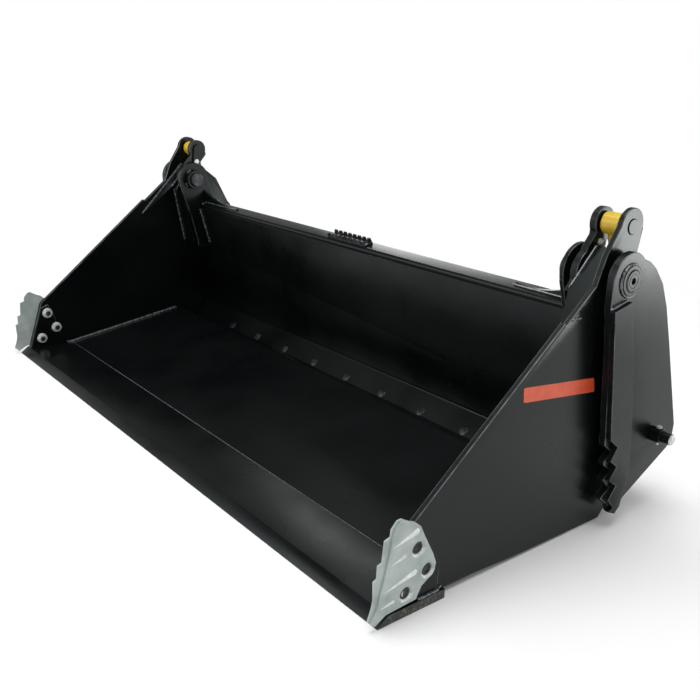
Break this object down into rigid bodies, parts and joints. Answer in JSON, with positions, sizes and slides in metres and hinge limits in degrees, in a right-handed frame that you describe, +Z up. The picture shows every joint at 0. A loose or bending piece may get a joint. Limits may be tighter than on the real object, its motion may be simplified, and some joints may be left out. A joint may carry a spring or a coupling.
{
  "type": "four-in-one skid steer bucket",
  "caption": "Skid steer bucket in two halves: a front jaw with side cutters opens on hinge pins in front of a toothed rear frame, worked by a hydraulic cylinder at each side.",
  "frame": {"origin": "on the ground under the middle of the bucket, halfway between its front and rear ends", "axes": "+X to the side that is nearest in the picture, +Y to the rear, towards the loader, +Z up"},
  "size_m": [1.966, 0.961, 0.695],
  "materials": {
    "black_paint": "gloss powder coat",
    "edge_steel": "gloss paint over rough cut steel",
    "cast_steel": "bare casting, silver-grey",
    "bright_steel": "zinc plated",
    "yellow_paint": "gloss enamel",
    "hard_chrome": "polished"
  },
  "bodies": {
    "rear_frame": {"moldboard": "black_paint", "rear_edge": "edge_steel", "rear_edge_bolts": "bright_steel", "rear_edge_nuts": "bright_steel", "top_tube": "black_paint", "gussets": "black_paint", "step_grip": "bright_steel", "outer_plate_left": "black_paint", "outer_plate_right": "black_paint", "grip_bar_left": "black_paint", "grip_bar_right": "black_paint", "inner_plate_left": "black_paint", "inner_plate_right": "black_paint", "cylinder_box_left": "black_paint", "cylinder_box_right": "black_paint", "hinge_pin_left": "bright_steel", "hinge_pin_right": "bright_steel", "hinge_collars": "black_paint", "base_pins": "bright_steel", "base_collars": "black_paint", "cross_bolts": "bright_steel", "mount_plate": "black_paint", "mount_lip": "black_paint", "mount_flange": "black_paint", "heel_plate": "black_paint", "frame_ribs": "black_paint"},
    "front_jaw": {"cutting_edge": "edge_steel", "jaw_floor": "black_paint", "jaw_bottom": "black_paint", "closing_bar": "black_paint", "floor_ribs": "black_paint", "side_plate_left": "black_paint", "side_plate_right": "black_paint", "inner_ear_left": "black_paint", "inner_ear_right": "black_paint", "ear_cover_left": "black_paint", "ear_cover_right": "black_paint", "baffle_left": "black_paint", "baffle_right": "black_paint", "corner_plates": "black_paint", "side_cutter_left": "cast_steel", "side_cutter_right": "cast_steel", "cutter_bolts": "bright_steel", "cutter_nuts": "bright_steel", "hinge_bushes": "bright_steel", "ear_pin_left": "bright_steel", "ear_pin_right": "bright_steel", "flag_bolts": "bright_steel"},
    "left_rod": {"rod_left": "hard_chrome", "rod_eye_left": "yellow_paint"},
    "left_barrel": {"barrel_left": "yellow_paint", "gland_left": "black_paint", "base_pin_middle_left": "bright_steel"},
    "right_rod": {"rod_right": "hard_chrome", "rod_eye_right": "yellow_paint"},
    "right_barrel": {"barrel_right": "yellow_paint", "gland_right": "black_paint", "base_pin_middle_right": "bright_steel"}
  },
  "joints": [
    {"name": "jaw_open", "type": "hinge", "parent": "rear_frame", "child": "front_jaw", "pos_m": [0, 0.14551, 0.559], "axis": [-1, 0, 0], "range_deg": [0, 75]},
    {"name": "left_rod_swing", "type": "hinge", "parent": "front_jaw", "child": "left_rod", "pos_m": [-0.862, 0.17251, 0.658], "axis": [1, 0, 0], "range_deg": [0, 69.1]},
    {"name": "left_barrel_slide", "type": "slide", "parent": "left_rod", "child": "left_barrel", "axis": [0, -0.3039, 0.9527], "range_m": [0, 0.1159]},
    {"name": "right_rod_swing", "type": "hinge", "parent": "front_jaw", "child": "right_rod", "pos_m": [0.862, 0.17251, 0.658], "axis": [1, 0, 0], "range_deg": [0, 69.1]},
    {"name": "right_barrel_slide", "type": "slide", "parent": "right_rod", "child": "right_barrel", "axis": [0, -0.3039, 0.9527], "range_m": [0, 0.1159]}
  ],
  "couplings": [
    {"joint": "left_rod_swing", "follows": "jaw_open", "ratio": 0.9146},
    {"joint": "left_barrel_slide", "follows": "jaw_open", "m_per_rad": 0.088153},
    {"joint": "right_rod_swing", "follows": "jaw_open", "ratio": 0.9146},
    {"joint": "right_barrel_slide", "follows": "jaw_open", "m_per_rad": 0.088153}
  ]
}
